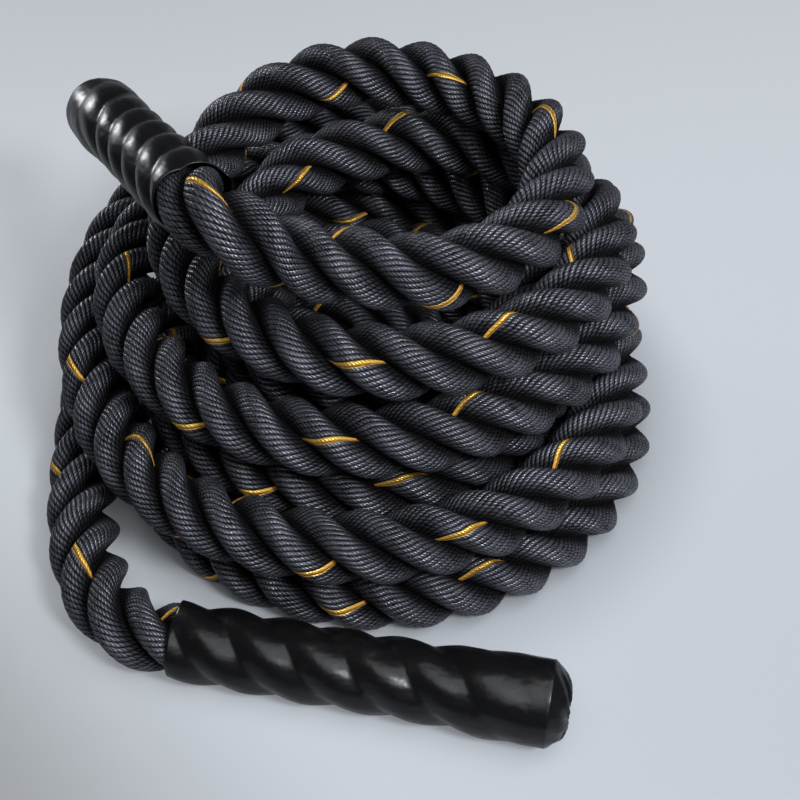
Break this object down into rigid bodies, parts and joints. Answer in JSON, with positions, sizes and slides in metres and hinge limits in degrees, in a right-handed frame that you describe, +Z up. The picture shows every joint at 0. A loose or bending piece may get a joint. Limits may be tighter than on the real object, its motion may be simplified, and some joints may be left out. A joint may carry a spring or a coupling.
{
  "type": "battle rope",
  "caption": "Coiled training rope of three black strands with gold tracer yarns, and a shrunk-on sleeve as a handle on each end.",
  "frame": {"origin": "under the middle of the whole coiled rope, on the floor that it lies on", "axes": "+Z up; +Y away from the viewer of the picture, from the front handle towards the back of the coil; +X to the right"},
  "size_m": [0.4548, 0.5723, 0.2895],
  "materials": {
    "rope_yarn": "matt twisted polyester yarn",
    "tape": "matt tape",
    "melted_yarn": "yarn ends melted together",
    "shrink_sleeve": "satin heat-shrink sleeve"
  },
  "bodies": {
    "coil": {"rope_coil": "rope_yarn", "front_lead": "rope_yarn", "top_lead": "rope_yarn"},
    "front_handle": {"front_sleeve": "shrink_sleeve", "front_strand_1": "rope_yarn", "front_strand_2": "rope_yarn", "front_strand_3": "rope_yarn", "front_tape": "tape", "front_melted_end": "melted_yarn"},
    "top_handle": {"top_sleeve": "shrink_sleeve", "top_strand_1": "rope_yarn", "top_strand_2": "rope_yarn", "top_strand_3": "rope_yarn", "top_tape": "tape", "top_melted_end": "melted_yarn"}
  },
  "joints": [
    {"name": "front_handle_lift", "type": "hinge", "parent": "coil", "child": "front_handle", "pos_m": [-0.16017, -0.19938, 0.02573], "axis": [-0.2011, -0.9796, 0], "range_deg": [0, 40], "deforming": ["front_lead"]},
    {"name": "top_handle_lift", "type": "hinge", "parent": "coil", "child": "top_handle", "pos_m": [-0.07872, -0.07698, 0.26934], "axis": [0.9015, 0.4329, 0], "range_deg": [0, 40], "deforming": ["top_lead"]}
  ]
}
